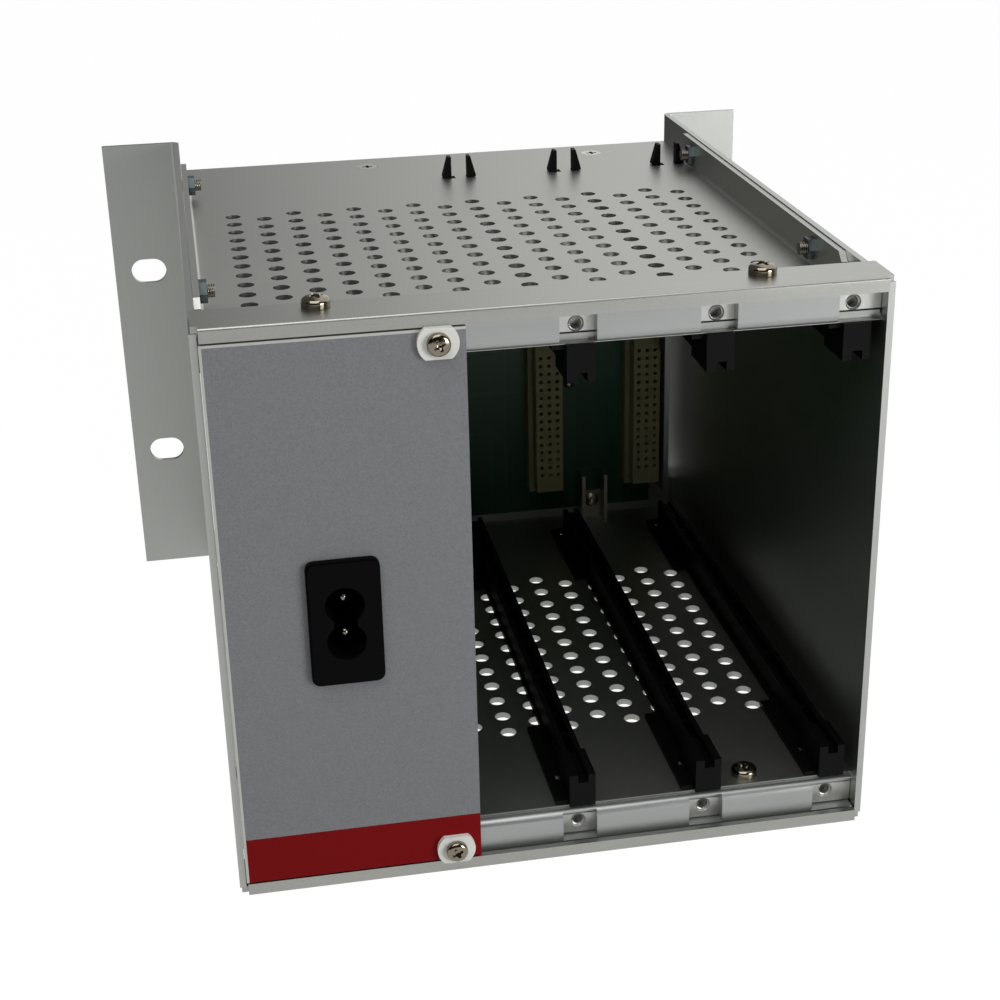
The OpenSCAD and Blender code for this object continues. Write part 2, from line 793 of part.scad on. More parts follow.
// Transformer: laminated core with its winding
module transformer() {
  winding = 8;
  y0 = board_y + 0.28 * board_d;
  z0 = (total_h - core_h) / 2;
  color([0.30, 0.29, 0.28]) translate([board_x - core_w - 3, y0 + winding, z0])
    cube([core_w, core_d, core_h]);
  color([0.75, 0.62, 0.20]) translate([board_x - core_w, y0, z0 + winding])
    cube([core_w, core_d + 2 * winding, core_h - 2 * winding]);
}

// Smoothing capacitors, upright on the board
module capacitors() {
  pitch = capacitor_d + 3;
  y0 = board_end - heat_sink_d - sink_gap - capacitor_d / 2;
  color([0.14, 0.16, 0.22]) for (k = [-1, 0, 1])
    rod_x(y0, total_h / 2 + k * pitch, capacitor_d, board_x - capacitor_l, board_x);
}

// Finned heat sink at the rear of the board
fins = 6;
sink_gap = 6;
heat_sink_d = (fins - 1) * fin_pitch + fin_t + 3;
module heat_sink() {
  base_t = 3;
  color([0.20, 0.20, 0.21]) translate([board_x - fin_w, board_end - heat_sink_d, (total_h - sink_h) / 2]) {
    translate([fin_w - base_t, 0, 0]) cube([base_t, (fins - 1) * fin_pitch + fin_t, sink_h]);
    for (k = [0 : fins - 1])
      translate([0, k * fin_pitch, 0]) cube([fin_w - base_t + 1, fin_t, sink_h]);
  }
}

// Plug of the power supply, with a shroud that takes the socket's nose
module power_plug() {
  w = socket_w + 2.6;
  h = socket_h + 4;
  x = groove_x(-1) - socket_shift;
  y1 = board_end + plug_d;
  color([0.62, 0.60, 0.52]) difference() {
    translate([x - w / 2, y1 - plug_d, socket_z - h / 2]) cube([w, plug_d, h]);
    translate([x - socket_w / 2 - 0.3, y1 - socket_nose + 0.2, socket_z - socket_h / 2 - 0.3])
      cube([socket_w + 0.6, plug_d, socket_h + 0.6]);
  }
}

// ---------- Backplane ----------

backplane_z = tray_floor + backplane_gap;
rail_screw_z = tray_floor + 6.1;
rail_screw_zs = [rail_screw_z, total_h - rail_screw_z];
lug_d = 2;
lug = [groove_x(1) + 2, panel_z + 53];
module backplane() {
  color([0.07, 0.30, 0.17]) difference() {
    translate([backplane_left, backplane_y, backplane_z])
      cube([inner_w - backplane_left - backplane_right, backplane_t, total_h - 2 * backplane_z]);
    for (x = bracket_xs, z = rail_screw_zs)
      rod_y(x, z, rail_screw_d + 0.3, backplane_y - 1, rear_rail_y + 1);
    rod_y(lug[0], lug[1], lug_d + 0.3, backplane_y - 1, rear_rail_y + 1);
  }
}

// Three-row socket for slot i; slot -1 is the power supply's own
module socket(i) {
  x = groove_x(i) - socket_shift;
  nose_y = backplane_y - socket_d;
  color([0.66, 0.63, 0.50]) translate([x, 0, socket_z]) difference() {
    union() {
      standing(nose_y, nose_y + socket_nose) polygon([
        [-socket_w / 2, -socket_h / 2], [socket_w / 2, -socket_h / 2],
        [socket_w / 2, socket_h / 2 - 6], [socket_w / 2 - 4, socket_h / 2],
        [-socket_w / 2, socket_h / 2]
      ]);
      standing(nose_y + socket_nose, backplane_y) square([socket_base_w, socket_base_h], center = true);
    }
    for (c = [-1, 0, 1], r = [0 : contact_rows - 1])
      translate([c * contact_pitch, nose_y, (r - (contact_rows - 1) / 2) * contact_pitch])
        translate([-0.5, -1, -0.5]) cube([1, 5, 1]);
  }
}

// Rear rails behind the backplane: extruded section with a channel at the rear
rail_screw_d = 2.5;
rear_wall = 2.4;
module rear_rail() {
  front_wall = 3.5;
  floor_t = 2.4;
  difference() {
    sideways(rail_end, inner_w - rail_end) translate([rear_rail_y, tray_floor]) difference() {
      square([rear_rail_d, rear_rail_h]);
      translate([front_wall, floor_t])
        square([rear_rail_d - front_wall + 1, rear_rail_h - floor_t - rear_wall]);
    }
    for (x = rear_screw_xs)
      translate([x, rear_screw_y, tray_floor - 1]) cylinder(d = csk_shank + 0.2, h = floor_t + 3);
    for (x = bracket_xs)
      rod_y(x, rail_screw_z, rail_screw_d + 0.2, rear_rail_y - 1, rear_rail_y + 5);
  }
}

module rear_rail_bottom() {
  color([0.70, 0.72, 0.72]) rear_rail();
}

module rear_rail_top() {
  color([0.70, 0.72, 0.72]) upside_down() rear_rail();
}

// U-shaped clips in front of the backplane, with two side arms
bracket_w = 8;
bracket_t = 1;
bracket_h = 16;
bracket_side = 6;
web_h = 9;
module bracket() {
  translate([-bracket_w / 2, 0, tray_floor]) difference() {
    union() {
      translate([0, backplane_y - bracket_t, 0]) cube([bracket_w, bracket_t, web_h]);
      for (x = [0, bracket_w - bracket_t]) translate([x, backplane_y - bracket_side, 0])
        cube([bracket_t, bracket_side, bracket_h]);
    }
    rod_y(bracket_w / 2, rail_screw_z - tray_floor, rail_screw_d + 0.3, backplane_y - 3, backplane_y + 1);
  }
}

module backplane_brackets() {
  color([0.72, 0.72, 0.70]) for (x = bracket_xs) {
    translate([x, 0, 0]) bracket();
    upside_down() translate([x, 0, 0]) bracket();
  }
}

// Countersunk screws through the trays into the rear rails
rear_screw_len = sheet_t + 3;
module bracket_screws() {
  color([0.80, 0.79, 0.76]) for (x = rear_screw_xs) {
    translate([x, rear_screw_y, tray_under]) csk_screw(rear_screw_len);
    upside_down() translate([x, rear_screw_y, tray_under]) csk_screw(rear_screw_len);
  }
}

// Pan-head screw that points to the rear from the plane y
module rear_screw(x, y, z, d, len) {
  head = 0.7 * d;
  translate([x, y, z]) rotate([90, 0, 0]) {
    pan_head(1.85 * d, head);
    translate([0, 0, -len]) cylinder(d = d, h = len + 0.2);
  }
}

// Screws through the clips and the backplane into the rear rails, and two small ones
angle_screw_d = 1.2;
module backplane_screws() {
  color([0.76, 0.75, 0.72]) {
    for (x = bracket_xs, z = rail_screw_zs)
      rear_screw(x, backplane_y - bracket_t, z, rail_screw_d, bracket_t + backplane_t + 3);
    rear_screw(lug[0], backplane_y, lug[1], lug_d, backplane_t + 1.5);
    rear_screw(angle_screw_x, rear_rail_y, angle_screw_z, angle_screw_d, angle_t + 0.8);
  }
}

// Angle between the rear rails that closes the backplane's right side
angle_t = 1.6;
angle_leg = 9;
angle_flange = 8;
angle_x = inner_w - backplane_right + 2.3;
angle_screw_x = angle_x - 1.15;
angle_screw_z = panel_z + 45;
module end_angle() {
  z0 = tray_floor + rear_rail_h + 0.1;
  h = total_h - 2 * z0;
  color([0.62, 0.63, 0.62]) difference() {
    union() {
      translate([angle_x, backplane_y - angle_leg, z0])
        cube([angle_t, angle_leg + backplane_t + angle_t, h]);
      translate([angle_x - angle_flange, rear_rail_y, z0]) cube([angle_flange + 0.01, angle_t, h]);
    }
    rod_y(angle_screw_x, angle_screw_z, angle_screw_d + 0.2, rear_rail_y - 1, rear_rail_y + 5);
  }
}

in_place() side_plate_left();
in_place() side_plate_right();
in_place() tray_top();
in_place() tray_bottom();
in_place() cover_strip_top();
in_place() cover_strip_bottom();
in_place() front_rail_top();
in_place() front_rail_bottom();
in_place() threaded_bar_top();
in_place() threaded_bar_bottom();
in_place() cover_screws();
in_place() floor_screws();
in_place() side_screws();
in_place() side_nuts();
in_place() guide_top(0);  // guide_top_1
in_place() guide_top(1);  // guide_top_2
in_place() guide_top(2);  // guide_top_3
in_place() guide_bottom(0);  // guide_bottom_1
in_place() guide_bottom(1);  // guide_bottom_2
in_place() guide_bottom(2);  // guide_bottom_3
in_place() power_panel();
in_place() panel_collars();
in_place() panel_screws();
in_place() inlet_housing();
in_place() inlet_pins();
in_place() inlet_leads();
in_place() board_holders();
in_place() holder_screws();
in_place() power_board();
in_place() transformer();
in_place() capacitors();
in_place() heat_sink();
in_place() power_plug();
in_place() backplane();
in_place() socket(-1);  // socket_power
in_place() socket(0);  // socket_1
in_place() socket(1);  // socket_2
in_place() socket(2);  // socket_3
in_place() rear_rail_top();
in_place() rear_rail_bottom();
in_place() backplane_brackets();
in_place() bracket_screws();
in_place() backplane_screws();
in_place() end_angle();
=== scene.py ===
import math

import bpy
from bpy.props import FloatProperty, FloatVectorProperty, IntProperty, PointerProperty
from mathutils import Matrix, Vector


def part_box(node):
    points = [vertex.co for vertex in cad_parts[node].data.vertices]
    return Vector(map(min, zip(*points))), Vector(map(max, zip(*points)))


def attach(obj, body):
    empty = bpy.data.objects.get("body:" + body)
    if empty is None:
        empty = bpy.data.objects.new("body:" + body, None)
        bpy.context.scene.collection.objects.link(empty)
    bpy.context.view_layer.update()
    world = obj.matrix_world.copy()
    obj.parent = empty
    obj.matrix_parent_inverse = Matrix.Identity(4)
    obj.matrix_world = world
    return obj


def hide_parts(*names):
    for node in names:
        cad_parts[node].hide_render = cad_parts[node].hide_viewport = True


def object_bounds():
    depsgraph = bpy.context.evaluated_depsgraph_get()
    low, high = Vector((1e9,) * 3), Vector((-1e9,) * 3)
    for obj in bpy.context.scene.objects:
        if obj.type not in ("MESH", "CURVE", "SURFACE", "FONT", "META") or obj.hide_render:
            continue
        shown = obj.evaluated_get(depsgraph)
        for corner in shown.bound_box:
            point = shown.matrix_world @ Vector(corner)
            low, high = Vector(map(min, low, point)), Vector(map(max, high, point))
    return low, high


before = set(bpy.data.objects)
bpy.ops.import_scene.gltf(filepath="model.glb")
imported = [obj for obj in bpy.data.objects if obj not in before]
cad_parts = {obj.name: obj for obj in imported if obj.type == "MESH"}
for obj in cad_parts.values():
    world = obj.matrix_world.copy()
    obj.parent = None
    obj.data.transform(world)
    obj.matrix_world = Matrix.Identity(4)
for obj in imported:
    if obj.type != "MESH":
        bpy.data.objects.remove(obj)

bl_info = {
    "name": "Subrack card cage",
    "version": (1, 0, 0),
    "blender": (4, 5, 0),
    "location": "3D View > Sidebar > Card cage",
    "description": "Dresses a 3U subrack with its power supply, card guides and backplane",
    "category": "Object",
}

LOW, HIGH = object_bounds()
MM = 0.001
PANEL_LOW, PANEL_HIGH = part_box("power_panel")

BEVEL_STEPS = 2
BEVEL_ANGLE = math.radians(35)
CRISP_ANGLE = math.radians(32)

# A pan head from its seat to its crown, in shares of its radius and height
HEAD_RINGS = ((0.97, 0), (1, 0.04), (1, 0.46), (0.985, 0.58), (0.93, 0.7))
CROWN_RINGS = (0.82, 0.68)
CROWN_DROP = 0.19

# A cross recess from its rim to its floor, in shares of its radius and depth
RECESS_RINGS = (
    (1.06, 0), (1, 0), (0.93, 0.42), (0.75, 0.58), (0.56, 0.78), (0.42, 0.92), (0.25, 1))
RECESS_RADIUS = 0.54
RECESS_HALF_WIDTH = 0.15
RECESS_DEPTH = 0.6
TRAY_SCREW_TURN = math.radians(20)
PANEL_SCREW_TURN = math.radians(25)

PIN_TIP_ANGLES = (6, 20, 35, 50, 65, 80, 90)

# A solder joint from the board outwards, in millimetres and in shares of its radius
JOINT_RINGS = ((-0.02, 1), (0.25, 0.8), (0.8, 0.42), (1.1, 0.38))
TAIL_RADIUS = 0.36

FLOOR_REACH = 6
FLOOR_GLOW = 1.1
FLOOR_SEEN = 0.9
TOP_LAMP_SIZE = (0.9, 0.9)
TOP_LAMP_OFFSET = Vector((-0.2, -0.45, 0.9))
RIGHT_LAMP_SIZE = (0.5, 0.6)
RIGHT_LAMP_OFFSET = Vector((0.75, -0.9, 0.12))
SENSOR_WIDTH = 36
NEAR, FAR = 0.01, 50


def tint(red, green, blue):
    """Linear colour of a 0 to 255 display colour."""
    def linear(value):
        share = value / 255
        return share / 12.92 if share <= 0.04045 else ((share + 0.055) / 1.055) ** 2.4
    return linear(red), linear(green), linear(blue)


def colour(name, default, words):
    """A colour that the sidebar shows."""
    return FloatVectorProperty(
        name=name, description=words, subtype="COLOR", size=3, min=0, max=1, default=default)


def length(name, default, words):
    """A length in metres that the sidebar shows."""
    return FloatProperty(
        name=name, description=words, unit="LENGTH", default=default, min=0, precision=5)


class CageColours(bpy.types.PropertyGroup):
    plates: colour("Side plates", tint(187, 189, 185), "Aluminium of the side plates and ears")
    trays: colour("Trays", tint(186, 187, 182), "Sheet aluminium of the trays")
    strips: colour("Strips", tint(176, 177, 172), "Sheet aluminium of the cover strips")
    rails: colour("Rails", tint(176, 179, 177), "Clear anodised front rails")
    bright: colour("Bright metal", tint(200, 200, 196), "Milled faces and threads")
    pins: colour("Pins", tint(150, 147, 136), "Nickel plated pins")
    plated: colour("Plated steel", tint(190, 186, 176), "Zinc plated screws")
    polished: colour("Polished steel", tint(150, 142, 126), "Nickel plated pan-head screws")
    threads: colour("Threads", tint(128, 124, 112), "Ends of the screws through the side plates")
    nuts: colour("Nuts", tint(96, 105, 106), "Blue zinc plated nuts")
    guides: colour("Card guides", tint(9, 9, 10), "Black moulded plastic")
    panel: colour("Power panel", tint(134, 135, 138), "Silver grey panel")
    band: colour("Band", tint(126, 8, 11), "Red band along the foot of the panel")
    nylon: colour("Collars", tint(236, 236, 230), "Natural nylon")
    inlet: colour("Inlet", tint(8, 8, 9), "Black moulded inlet")
    mask: colour("Solder mask", tint(5, 66, 40), "Green boards")
    # The sockets' colour is darker than their real beige: painted shade for the dim inside of the
    # cage.
    sockets: colour("Sockets", tint(154, 148, 112), "Beige sockets")
    core: colour("Transformer", tint(74, 72, 70), "Varnished laminations")
    sleeve: colour("Capacitors", tint(30, 34, 48), "Shrink sleeves")
    leads: colour("Leads", tint(28, 48, 120), "Lead insulation")


class CageSizes(bpy.types.PropertyGroup):
    sheet_edge: length("Sheet edge", 0.18 * MM, "Softened edge of the sheet metal")
    rail_edge: length("Rail edge", 0.2 * MM, "Softened edge of the rails")
    moulded_edge: length("Moulded edge", 0.22 * MM, "Softened edge of plastic parts")
    tray_head: length("Tray screw heads", 2.45 * MM, "Height of the pan heads on the trays")
    panel_head: length("Panel screw heads", 1.85 * MM, "Height of the panel screws' heads")
    tray_thread: length("Tray threads", 3 * MM, "Diameter of the screws through the trays")
    panel_thread: length("Panel threads", 2.3 * MM, "Diameter of the panel's screws")
    fine_edge: length("Fine edge", 0.08 * MM, "Softened edge of screws and nuts")
    band_height: length("Band height", 11.4 * MM, "Height of the red band")
    bare_edge: length("Bare edge", 0.6 * MM, "Bare metal left around the panel's foil")
    joint_size: length("Solder joints", 1.5 * MM, "Diameter of the backplane's solder joints")
    tail_length: length("Contact tails", 2.4 * MM, "Length of the tails behind the backplane")


class CageStage(bpy.types.PropertyGroup):
    eye: FloatVectorProperty(
        name="Camera", description="Where the camera stands", subtype="XYZ", unit="LENGTH", size=3,
        default=(-0.07265, -0.43986, 0.24586))
    yaw: FloatProperty(
        name="Yaw", description="Turn to the right", subtype="ANGLE", default=math.radians(9.825))
    pitch: FloatProperty(
        name="Pitch", description="Tilt down", subtype="ANGLE", default=math.radians(23.426))
    roll: FloatProperty(
        name="Roll", description="Lean of the horizon", subtype="ANGLE",
        default=math.radians(-1.319))
    lens: FloatProperty(
        name="Lens", description="Focal length in millimetres", default=65.1, min=1)
    top_light: FloatProperty(
        name="Top light", description="Power of the lamp overhead", unit="POWER",
        default=5.5, min=0)
    right_light: FloatProperty(
        name="Right light", description="Power of the lamp on the right", unit="POWER",
        default=7.8, min=0)
    room: FloatProperty(
        name="Room", description="Strength of the soft light behind", default=0.06, min=0)
    front: FloatProperty(
        name="Front", description="Strength of the light from the front", default=0.02, min=0)


# ---------- Shaders ----------

class Wire:
    """A shader socket that takes part in sums, differences and products."""

    def __init__(self, shader, socket):
        self.shader = shader
        self.socket = socket

    def maths(self, operation, first, second):
        node = self.shader.add("Math", {"operation": operation}, {0: first, 1: second})
        return Wire(self.shader, node.outputs[0])

    def __add__(self, other):
        return self.maths("ADD", self, other)

    def __radd__(self, other):
        return self.maths("ADD", other, self)

    def __sub__(self, other):
        return self.maths("SUBTRACT", self, other)

    def __rsub__(self, other):
        return self.maths("SUBTRACT", other, self)

    def __mul__(self, other):
        return self.maths("MULTIPLY", self, other)

    def __rmul__(self, other):
        return self.maths("MULTIPLY", other, self)

    def below(self, level):
        return self.maths("LESS_THAN", self, level)

    def larger(self, other):
        return self.maths("MAXIMUM", self, other)

    def smaller(self, other):
        return self.maths("MINIMUM", self, other)

    def wave(self):
        """Sine of this value, from 0 to 1."""
        return self.maths("SINE", self, 0.0) * 0.5 + 0.5


class Shader:
    """The node tree of a material or of a world, built in code."""

    def __init__(self, name, owner=None):
        self.material = owner or bpy.data.materials.new(name)
        self.material.use_nodes = True
        self.tree = self.material.node_tree
        self.tree.nodes.clear()

    def add(self, kind, settings=None, inputs=None):
        """Adds a node, with its settings set before its sockets are filled or linked."""
        node = self.tree.nodes.new("ShaderNode" + kind)
        for key, value in (settings or {}).items():
            if key == "stops":
                self.set_stops(node.color_ramp, value)
            else:
                setattr(node, key, value)
        for key, value in (inputs or {}).items():
            socket = node.inputs[key] if isinstance(key, int) else self.find(node.inputs, key)
            if isinstance(value, Wire):
                self.tree.links.new(value.socket, socket)
            else:
                socket.default_value = value
        return node

    @staticmethod
    def set_stops(ramp, stops):
        while len(ramp.elements) < len(stops):
            ramp.elements.new(1)
        for element, (place, shade) in zip(ramp.elements, stops):
            element.position = place
            element.color = (*shade, 1) if isinstance(shade, tuple) else (shade, shade, shade, 1)

    @staticmethod
    def find(sockets, key):
        for socket in sockets:
            if socket.identifier == key or socket.name == key:
                return socket
        raise KeyError(key)

    def wire(self, node, output=0):
        return Wire(self, node.outputs[output])

    def place(self):
        """The point on the surface, in the cage's own frame."""
        return self.wire(self.add("TexCoord"), "Object")

    def axis(self, number):
        split = self.add("SeparateXYZ", None, {0: self.place()})
        return self.wire(split, number)

    def noise(self, scale, detail=2.0, stretch=(1, 1, 1), rough=0.5):
        """Noise from 0 to 1; stretch makes it longer along an axis where it is below 1."""
        spread = self.add("Mapping", None, {"Vector": self.place(), "Scale": stretch})
        node = self.add("TexNoise", None, {
            "Vector": self.wire(spread), "Scale": scale, "Detail": detail, "Roughness": rough})
        return self.wire(node, "Fac")

    def ramp(self, value, stops):
        return self.wire(self.add("ValToRGB", {"stops": stops}, {"Fac": value}))

    def mix(self, share, first, second):
        """Colour mixed from first towards second."""
        four = [value if isinstance(value, Wire) else (*value, 1) for value in (first, second)]
        node = self.add("Mix", {"data_type": "RGBA"}, {
            "Factor_Float": share, "A_Color": four[0], "B_Color": four[1]})
        return self.wire(node, 2)

    def bump(self, height, depth, strength):
        node = self.add("Bump", None, {"Height": height, "Distance": depth, "Strength": strength})
        return self.wire(node)

    def finish(self, **values):
        """The surface and the output; values are the surface's sockets."""
        inputs = {key.replace("_", " ").title().replace("Ior", "IOR"): value
                  for key, value in values.items()}
        surface = self.add("BsdfPrincipled", None, inputs)
        self.add("OutputMaterial", None, {"Surface": self.wire(surface)})
        return self.material


def scaled(shade, factor):
    return tuple(min(1, part * factor) for part in shade)


def sheet_metal(name, shade, grain_axis=0, rough=0.4, streak=0.12, depth=0.05):
    """Matt rolled aluminium: fine grain, rolling lines along an axis and soft blotches."""
    s = Shader(name)
    stretch = [1, 1, 1]
    stretch[grain_axis] = streak
    grain = s.noise(3800, 2)
    lines = s.noise(900, 2, stretch)
    blotch = s.noise(22, 3)
    tone = grain * 0.45 + lines * 0.2 + blotch * 0.35
    share = s.ramp(tone, [(0.3, 0.0), (0.7, 1.0)])
    base = s.mix(share, scaled(shade, 1 - depth), scaled(shade, 1 + depth))
    return s.finish(base_color=base, metallic=1.0, roughness=tone * 0.12 + (rough - 0.04),
                    normal=s.bump(grain * 0.8 + lines * 0.2, 0.012 * MM, 0.4))


def anodised(name, shade, rough):
    """Clear anodised extrusion with fine die lines along x."""
    s = Shader(name)
    lines = s.noise(1600, 2, (0.02, 1, 1))
    grain = s.noise(4200, 2)
    base = s.mix(lines * 0.5 + grain * 0.5, scaled(shade, 0.94), scaled(shade, 1.05))
    return s.finish(base_color=base, metallic=0.85, roughness=grain * 0.1 + (rough - 0.05),
                    normal=s.bump(lines * 0.3 + grain * 0.7, 0.01 * MM, 0.5))


def bright_metal(name, shade, rough, thread_axis=None, pitch=0.5 * MM):
    """Plated or milled metal with small scratches, and thread rings where an axis is named."""
    s = Shader(name)
    scratches = s.noise(900, 4, (1, 0.2, 1), 0.7)
    cloud = s.noise(300, 2)
    base = s.mix(cloud, scaled(shade, 0.82), scaled(shade, 1.08))
    relief = scratches * 0.08
    if thread_axis is not None:
        turn = s.axis(thread_axis) * (2 * math.pi / pitch)
        relief = relief + turn.wave()
    return s.finish(base_color=base, metallic=1.0, roughness=scratches * 0.2 + (rough - 0.1),
                    normal=s.bump(relief, 0.12 * MM, 0.6))


def moulded(name, shade, rough, level=0.5):
    """Moulded plastic with a fine skin."""
    s = Shader(name)
    skin = s.noise(3600, 2)
    flow = s.noise(60, 3)
    base = s.mix(flow, scaled(shade, 0.86), scaled(shade, 1.14))
    return s.finish(base_color=base, roughness=flow * 0.16 + (rough - 0.08), ior=1.46,
                    specular_ior_level=level, normal=s.bump(skin, 0.02 * MM, 0.6))


def board_skin(name, shade):
    """Solder mask over a faint weave, with copper tracks that run up and across."""
    s = Shader(name)
    weave = s.noise(1500, 1)
    upright = s.noise(340, 1, (1, 1, 0.02))
    across = s.noise(300, 1, (0.02, 1, 1))
    tracks = s.ramp(upright.larger(across), [(0.6, 0.0), (0.63, 1.0)])
    base = s.mix(tracks, s.mix(weave, scaled(shade, 0.9), scaled(shade, 1.05)), scaled(shade, 1.22))
    return s.finish(base_color=base, roughness=weave * 0.1 + 0.3, coat_weight=0.04,
                    normal=s.bump(tracks, 0.02 * MM, 0.5))


def panel_skin(name, shade, band, metal, foil, band_top):
    """Silver grey foil with fine metal flakes and a red band, with a bare metal edge around it."""
    s = Shader(name)
    flakes = s.noise(5200, 1, rough=0.8)
    fine = s.noise(2400, 2)
    sparkle = s.ramp(flakes * 0.6 + fine * 0.4, [(0.36, 0.0), (0.64, 1.0)])
    grey = s.mix(sparkle, scaled(shade, 0.86), scaled(shade, 1.14))
    foot = s.axis(2).below(band_top)
    red = s.mix(fine, scaled(band, 0.92), scaled(band, 1.06))
    left, top = foil
    bare = s.axis(0).below(left).larger(1 - s.axis(2).below(top))
    print_side = s.mix(foot, grey, red)
    base = s.mix(bare, print_side, metal)
    return s.finish(base_color=base, metallic=bare * 0.9 + (1 - foot) * (1 - bare) * 0.2,
                    roughness=fine * 0.1 + (0.55 - bare * 0.15), specular_ior_level=0.12,
                    normal=s.bump(flakes, 0.008 * MM, 0.5))


# ---------- Pieces ----------

def dress(node, material):
    """Gives a CAD piece its material."""
    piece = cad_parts[node]
    piece.data.materials.clear()
    piece.data.materials.append(material)
    for polygon in piece.data.polygons:
        polygon.material_index = 0
    return piece


def soften(piece, width):
    """Rounds a piece's sharp edges a little, so that they catch the light."""
    bevel = piece.modifiers.new("Soft edges", "BEVEL")
    bevel.width = width
    bevel.segments = BEVEL_STEPS
    bevel.limit_method = "ANGLE"
    bevel.angle_limit = BEVEL_ANGLE
    bevel.harden_normals = False
    bevel.use_clamp_overlap = True
    shade_smooth(piece)


def shade_smooth(piece):
    for polygon in piece.data.polygons:
        polygon.use_smooth = True
    normals = piece.modifiers.new("Normals", "WEIGHTED_NORMAL")
    normals.keep_sharp = True


def joined(name, parts):
    """One mesh from lists of corners and faces."""
    corners, faces = [], []
    for points, sides in parts:
        start = len(corners)
        corners += points
        faces += [[start + index for index in side] for side in sides]
    mesh = bpy.data.meshes.new(name)
    mesh.from_pydata(corners, [], faces)
    mesh.update()
    piece = bpy.data.objects.new(name, mesh)
    bpy.context.collection.objects.link(piece)
    return piece


def turned(place, profile, sides=10):
    """Corners and faces of a body turned about y at a place; the profile is reach and radius."""
    points = []
    for reach, radius in profile:
        for step in range(sides):
            angle = 2 * math.pi * step / sides
            points.append((place.x + radius * math.cos(angle), place.y + reach,
                           place.z + radius * math.sin(angle)))
    faces = []
    for ring in range(len(profile) - 1):
        for step in range(sides):
            after = (step + 1) % sides
            faces.append([ring * sides + step, (ring + 1) * sides + step,
                          (ring + 1) * sides + after, ring * sides + after])
    faces.append(list(range(sides)))
    last = (len(profile) - 1) * sides
    faces.append([last + step for step in reversed(range(sides))])
    return points, faces


def cross_head_screw(head, height, shank, reach):
    """Corners and faces of a pan-head screw along +z, seated on z = 0, with a cross recess."""
    tip, half, deep = head * RECESS_RADIUS, head * RECESS_HALF_WIDTH, height * RECESS_DEPTH

    def dome(radius):
        return height * (1 - CROWN_DROP * (radius / (CROWN_RINGS[0] * head)) ** 2)

    rings = [(shank * 0.8, -reach, 0), (shank, 0.2 * shank - reach, 0), (shank, 0, 0)]
    rings += [(head * share, height * level, 0) for share, level in HEAD_RINGS]
    rings += [(head * share, dome(head * share), 0) for share in CROWN_RINGS]
    rings += [(tip * share, dome(tip * share), deep * part) for share, part in RECESS_RINGS]
    points, sides = [], 40
    for radius, level, depth in rings:
        edge = math.asin(min(0.62, half / radius))
        gap = (math.pi / 4 - edge) / 3
        spread = [-edge - 2 * gap, -edge - gap, -edge, -0.7 * edge, 0, 0.7 * edge, edge,
                  edge + gap, edge + 2 * gap, edge + 3 * gap]
        for quarter in range(4):
            for place, offset in enumerate(spread):
                angle = quarter * math.pi / 2 + offset
                sunk = depth if 3 <= place <= 5 or radius < 1.6 * half else 0
                points.append((radius * math.cos(angle), radius * math.sin(angle), level - sunk))
    faces = [list(reversed(range(sides)))]
    for ring in range(len(rings) - 1):
        low, high = ring * sides, (ring + 1) * sides
        for step in range(sides):
            after = (step + 1) % sides
            faces.append([low + step, low + after, high + after, high + step])
    points.append((0, 0, height - deep * 1.1))
    last = (len(rings) - 1) * sides
    for step in range(sides):
        faces.append([last + step, last + (step + 1) % sides, len(points) - 1])
    return points, faces


def moved(part, turn, place):
    """A part's corners turned and set at a place."""
    points, faces = part
    return [tuple(turn @ Vector(point) + place) for point in points], faces


def crisp(piece):
    """Smooth shading that keeps the sharp edges."""
    for polygon in piece.data.polygons:
        polygon.use_smooth = True
    piece.data.set_sharp_from_angle(angle=CRISP_ANGLE)


def nodes_named(start):
    return [name for name in sorted(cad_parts) if name.startswith(start)]


class CageOperator:
    """What the piece operators share."""
    bl_options = {"REGISTER", "UNDO"}

    @property
    def looks(self):
        return bpy.context.scene.cage_colours

    @property
    def sizes(self):
        return bpy.context.scene.cage_sizes


class CAGE_OT_side_plates(CageOperator, bpy.types.Operator):
    """Dresses the two folded side plates"""
    bl_idname = "cage.side_plates"
    bl_label = "Side plates"

    def execute(self, context):
        metal = sheet_metal("plate_metal", self.looks.plates, 2, 0.38)
        for node in nodes_named("side_plate"):
            soften(dress(node, metal), self.sizes.sheet_edge)
        return {"FINISHED"}


class CAGE_OT_trays(CageOperator, bpy.types.Operator):
    """Dresses the perforated trays and the cover strips"""
    bl_idname = "cage.trays"
    bl_label = "Trays and strips"

    def execute(self, context):
        metal = sheet_metal("tray_metal", self.looks.trays)
        for node in nodes_named("tray"):
            soften(dress(node, metal), self.sizes.sheet_edge)
        strips = sheet_metal("strip_metal", self.looks.strips, 0, 0.34, 0.02, 0.1)
        for node in nodes_named("cover_strip"):
            soften(dress(node, strips), self.sizes.sheet_edge)
        return {"FINISHED"}


class CAGE_OT_rails(CageOperator, bpy.types.Operator):
    """Dresses the front rails and their threaded bars"""
    bl_idname = "cage.rails"
    bl_label = "Rails"

    def execute(self, context):
        extrusion = anodised("rail_metal", self.looks.rails, 0.34)
        for node in nodes_named("front_rail"):
            soften(dress(node, extrusion), self.sizes.rail_edge)
        milled = bright_metal("bar_metal", self.looks.bright, 0.4, 1, 0.45 * MM)
        for node in nodes_named("threaded_bar"):
            soften(dress(node, milled), self.sizes.fine_edge)
        return {"FINISHED"}


